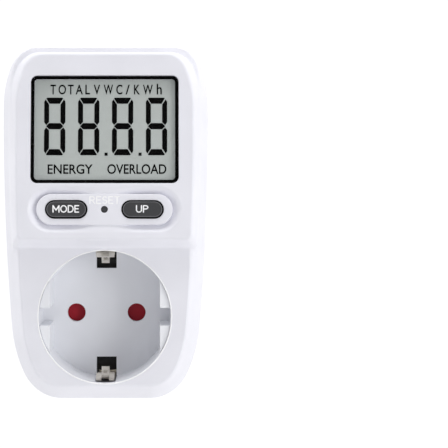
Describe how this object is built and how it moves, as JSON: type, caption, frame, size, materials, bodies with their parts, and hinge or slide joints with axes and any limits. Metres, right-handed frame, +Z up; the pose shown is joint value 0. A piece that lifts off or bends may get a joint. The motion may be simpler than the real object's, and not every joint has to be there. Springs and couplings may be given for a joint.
{
  "type": "plug-in power meter",
  "caption": "White plug-in energy meter for type F outlets: plug at the back, pass-through socket and a tilted display with keys at the front.",
  "frame": {"origin": "centre of the plug's end face, on the plug and socket axis, where the two plug pins come out", "axes": "+Y along the plug pins, away from the casing; -Y out of the front with its display and socket; +Z up towards the display; +X to the right seen from the front"},
  "size_m": [0.0634, 0.0763, 0.1087],
  "materials": {
    "casing_white": "satin moulded ABS, very slightly bluish white",
    "socket_white": "satin moulded plastic",
    "plug_white": "satin moulded plastic",
    "pin_nickel": "nickel-plated brass, polished, warm tone",
    "contact_brass": "stamped brass",
    "shunt_wire": "drawn resistance wire",
    "earth_spring": "tinned spring bronze",
    "shutter_red": "moulded plastic, red",
    "steel_small": "turned steel",
    "inner_grey": "moulded plastic, dark grey",
    "window_clear": "clear acrylic, gloss",
    "mask_black": "black print behind the window",
    "lcd_glass": "display glass with polariser",
    "lcd_reflector": "grey-green reflector film",
    "holder_ivory": "moulded plastic",
    "zebra_rubber": "layered conductive rubber",
    "board_green": "glass epoxy, green solder mask",
    "epoxy_black": "poured black epoxy",
    "can_silver": "drawn can",
    "key_grey": "fine matt dark grey",
    "mat_rubber": "translucent silicone rubber",
    "carbon_rubber": "carbon-filled rubber",
    "cell_green": "shrink sleeve",
    "board_tan": "paper phenolic",
    "cap_yellow": "moulded box",
    "cap_sleeve": "dark blue sleeve",
    "varistor_blue": "dipped coating",
    "resistor_tan": "dipped coating",
    "wire_red": "wire insulation",
    "screw_steel": "zinc-plated steel"
  },
  "bodies": {
    "housing": {"front_shell": "casing_white", "rear_shell": "casing_white", "socket_insert": "socket_white", "plug_insert": "plug_white", "pin_live": "pin_nickel", "pin_neutral": "pin_nickel", "live_contact_bar": "contact_brass", "neutral_contact": "contact_brass", "neutral_strap": "contact_brass", "current_shunt": "shunt_wire", "plug_earth_strap": "contact_brass", "earth_bridge": "earth_spring", "shutter_pivot": "steel_small", "shutter_spring": "steel_small", "shutter_cover": "inner_grey", "contact_carrier": "inner_grey", "display_window": "window_clear", "window_mask": "mask_black", "lcd_front_glass": "lcd_glass", "lcd_rear_glass": "lcd_glass", "lcd_reflector": "lcd_reflector", "lcd_holder": "holder_ivory", "zebra_strip": "zebra_rubber", "display_board": "board_green", "chip_blob": "epoxy_black", "clock_crystal": "can_silver", "display_resistors": "epoxy_black", "keypad_mat": "mat_rubber", "carbon_pads": "carbon_rubber", "backup_cell": "cell_green", "cell_tabs": "steel_small", "power_board": "board_tan", "film_capacitor": "cap_yellow", "smoothing_capacitor": "cap_sleeve", "varistor": "varistor_blue", "fuse_resistor": "resistor_tan", "rectifier_diodes": "epoxy_black", "metering_chip": "epoxy_black", "board_wires": "wire_red", "casing_screws": "screw_steel", "board_screws": "screw_steel"},
    "mode_key": {"button_mode": "key_grey"},
    "up_key": {"button_up": "key_grey"},
    "reset_key": {"reset_button": "key_grey"},
    "shutter": {"shutter_rotor": "shutter_red"},
    "earth_spring_top": {"earth_clip_top": "earth_spring"},
    "earth_spring_bottom": {"earth_clip_bottom": "earth_spring"}
  },
  "joints": [
    {"name": "mode_key_press", "type": "slide", "parent": "housing", "child": "mode_key", "axis": [0, 0.9968, -0.0802], "range_m": [0, 0.001], "stiffness_N_per_m": 800, "deforming": ["keypad_mat", "carbon_pads"]},
    {"name": "up_key_press", "type": "slide", "parent": "housing", "child": "up_key", "axis": [0, 0.9968, -0.0802], "range_m": [0, 0.001], "stiffness_N_per_m": 800, "deforming": ["keypad_mat", "carbon_pads"]},
    {"name": "reset_key_press", "type": "slide", "parent": "housing", "child": "reset_key", "axis": [0, 0.9968, -0.0802], "range_m": [0, 0.001], "stiffness_N_per_m": 800, "deforming": ["keypad_mat", "carbon_pads"]},
    {"name": "shutter_turn", "type": "hinge", "parent": "housing", "child": "shutter", "pos_m": [0, -0.0327, 0], "axis": [0, 1, 0], "range_deg": [0, 40], "stiffness_Nm_per_rad": 0.01, "deforming": ["shutter_spring"]},
    {"name": "earth_clip_top_flex", "type": "hinge", "parent": "housing", "child": "earth_spring_top", "pos_m": [0, -0.0368, 0.0203], "axis": [-1, 0, 0], "range_deg": [0, 5], "stiffness_Nm_per_rad": 0.3},
    {"name": "earth_clip_bottom_flex", "type": "hinge", "parent": "housing", "child": "earth_spring_bottom", "pos_m": [0, -0.0368, -0.0203], "axis": [1, 0, 0], "range_deg": [0, 5], "stiffness_Nm_per_rad": 0.3}
  ]
}
